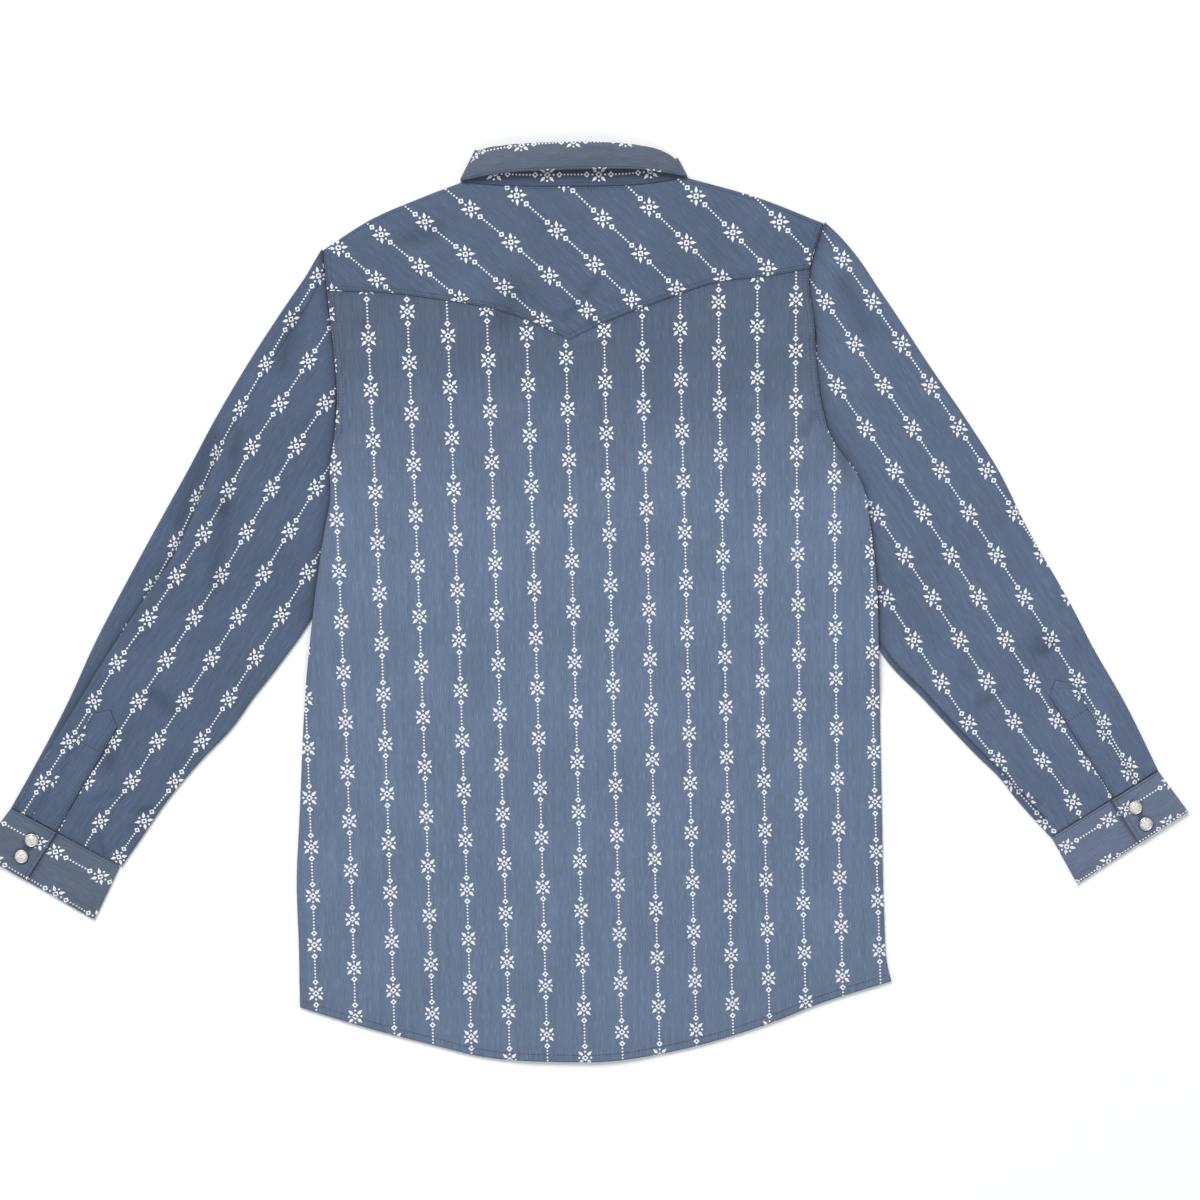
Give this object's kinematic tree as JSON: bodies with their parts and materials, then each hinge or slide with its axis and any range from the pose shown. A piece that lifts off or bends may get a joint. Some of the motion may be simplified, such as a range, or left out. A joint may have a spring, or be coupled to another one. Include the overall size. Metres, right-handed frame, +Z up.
{
  "type": "western snap shirt",
  "caption": "Long-sleeved western shirt of printed blue chambray, laid flat with its back up: pointed back yoke, snap-fastened barrel cuffs, turned-down collar and curved hem.",
  "frame": {"origin": "middle of the shirt's footprint, on the surface that it lies on", "axes": "+Z up from the surface, +Y towards the collar, +X towards the sleeve on the right as seen from above"},
  "size_m": [1.1128, 0.8443, 0.0213],
  "materials": {
    "chambray": "plain-woven cotton chambray, matt",
    "collar_chambray": "plain-woven cotton chambray, greyer, matt",
    "pearl": "pearl cap in a thin polished metal rim"
  },
  "bodies": {
    "root": {"back_panel": "chambray", "back_yoke": "chambray", "front_left": "chambray", "front_right": "chambray", "front_placket": "chambray", "sleeve_left": "chambray", "sleeve_right": "chambray", "sleeve_placket_left": "chambray", "sleeve_placket_right": "chambray", "cuff_left": "chambray", "cuff_right": "chambray", "collar_stand": "collar_chambray", "collar_fall": "collar_chambray", "cuff_snap_left_1": "pearl", "cuff_snap_left_2": "pearl", "cuff_snap_right_1": "pearl", "cuff_snap_right_2": "pearl", "front_snap_1": "pearl", "front_snap_2": "pearl", "front_snap_3": "pearl", "front_snap_4": "pearl", "front_snap_5": "pearl", "front_snap_6": "pearl", "front_snap_7": "pearl"}
  },
  "joints": []
}
